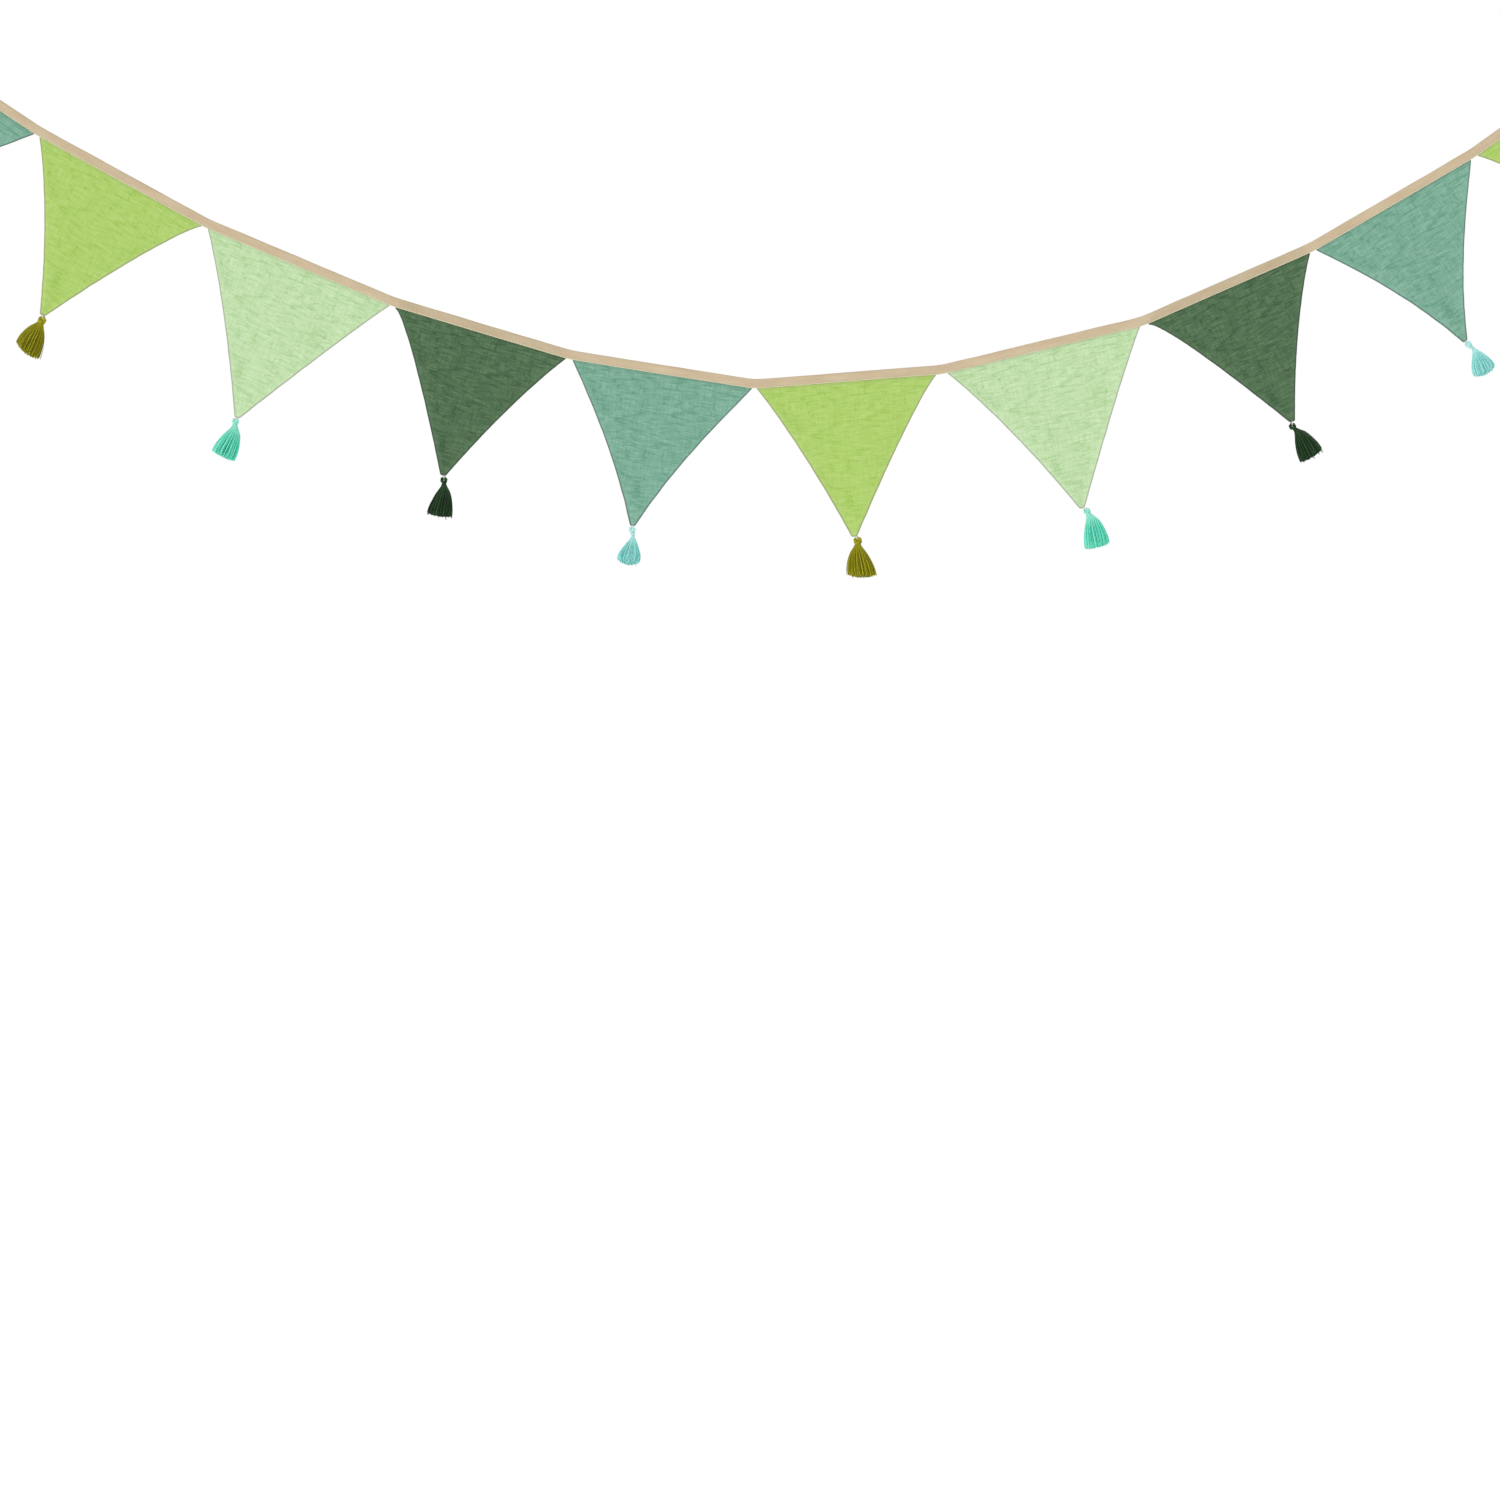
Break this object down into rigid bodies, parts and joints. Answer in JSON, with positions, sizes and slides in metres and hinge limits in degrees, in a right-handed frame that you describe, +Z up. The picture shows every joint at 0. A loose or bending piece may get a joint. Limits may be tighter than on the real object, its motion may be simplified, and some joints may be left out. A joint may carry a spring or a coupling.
{
  "type": "fabric bunting",
  "caption": "Hung garland of three-cornered cotton pennants in greens, sewn into a folded beige tape, with a thread tassel at each tip.",
  "frame": {"origin": "middle of the tape's left end, where the bunting is held", "axes": "+X from the left end to the right end, +Z up, and the front faces -Y"},
  "size_m": [2.0135, 0.0266, 0.6526],
  "materials": {
    "tape": "smooth woven cotton, matt",
    "cloth_teal": "crinkled cotton gauze, matt",
    "cloth_lime": "crinkled cotton gauze, matt",
    "cloth_mint": "crinkled cotton gauze, matt",
    "cloth_forest": "crinkled cotton gauze, matt",
    "thread_ice": "silky viscose thread",
    "thread_olive": "silky viscose thread",
    "thread_aqua": "silky viscose thread",
    "thread_forest": "silky viscose thread"
  },
  "bodies": {
    "root": {"tape": "tape", "pennant_teal_1": "cloth_teal", "pennant_lime_1": "cloth_lime", "pennant_mint_1": "cloth_mint", "pennant_forest_1": "cloth_forest", "pennant_teal_2": "cloth_teal", "pennant_lime_2": "cloth_lime", "pennant_mint_2": "cloth_mint", "pennant_forest_2": "cloth_forest", "pennant_teal_3": "cloth_teal", "pennant_lime_3": "cloth_lime", "tassel_teal_1": "thread_ice", "tassel_lime_1": "thread_olive", "tassel_mint_1": "thread_aqua", "tassel_forest_1": "thread_forest", "tassel_teal_2": "thread_ice", "tassel_lime_2": "thread_olive", "tassel_mint_2": "thread_aqua", "tassel_forest_2": "thread_forest", "tassel_teal_3": "thread_ice", "tassel_lime_3": "thread_olive"}
  },
  "joints": []
}
